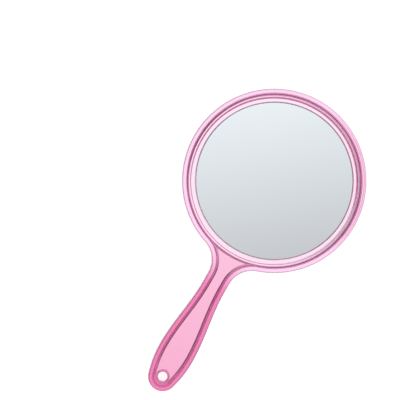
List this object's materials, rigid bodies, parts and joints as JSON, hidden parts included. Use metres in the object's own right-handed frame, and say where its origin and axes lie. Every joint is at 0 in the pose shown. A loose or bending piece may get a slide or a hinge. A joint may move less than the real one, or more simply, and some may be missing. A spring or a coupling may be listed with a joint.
{
  "type": "hand mirror",
  "caption": "Round two-sided hand mirror with a see-through moulded frame, retaining rings, a flat and a magnifying glass, and a flat handle with a hanging hole.",
  "frame": {"origin": "centre of the bounding box's base, on the surface that the mirror lies on with its flat mirror facing up", "axes": "+Z out of the flat mirror, +Y from the handle's end towards the head, +X across to the right"},
  "size_m": [0.15, 0.27, 0.012],
  "materials": {
    "frame_plastic": "polished see-through pink",
    "bezel_plastic": "polished see-through pale pink",
    "mirror_glass": "silvered glass",
    "white_foam": "matt closed-cell foam"
  },
  "bodies": {
    "root": {"frame": "frame_plastic", "front_bezel": "bezel_plastic", "rear_bezel": "bezel_plastic", "front_mirror": "mirror_glass", "rear_mirror": "mirror_glass", "front_foam_ring": "white_foam", "rear_foam_ring": "white_foam", "centre_pad": "white_foam"}
  },
  "joints": []
}
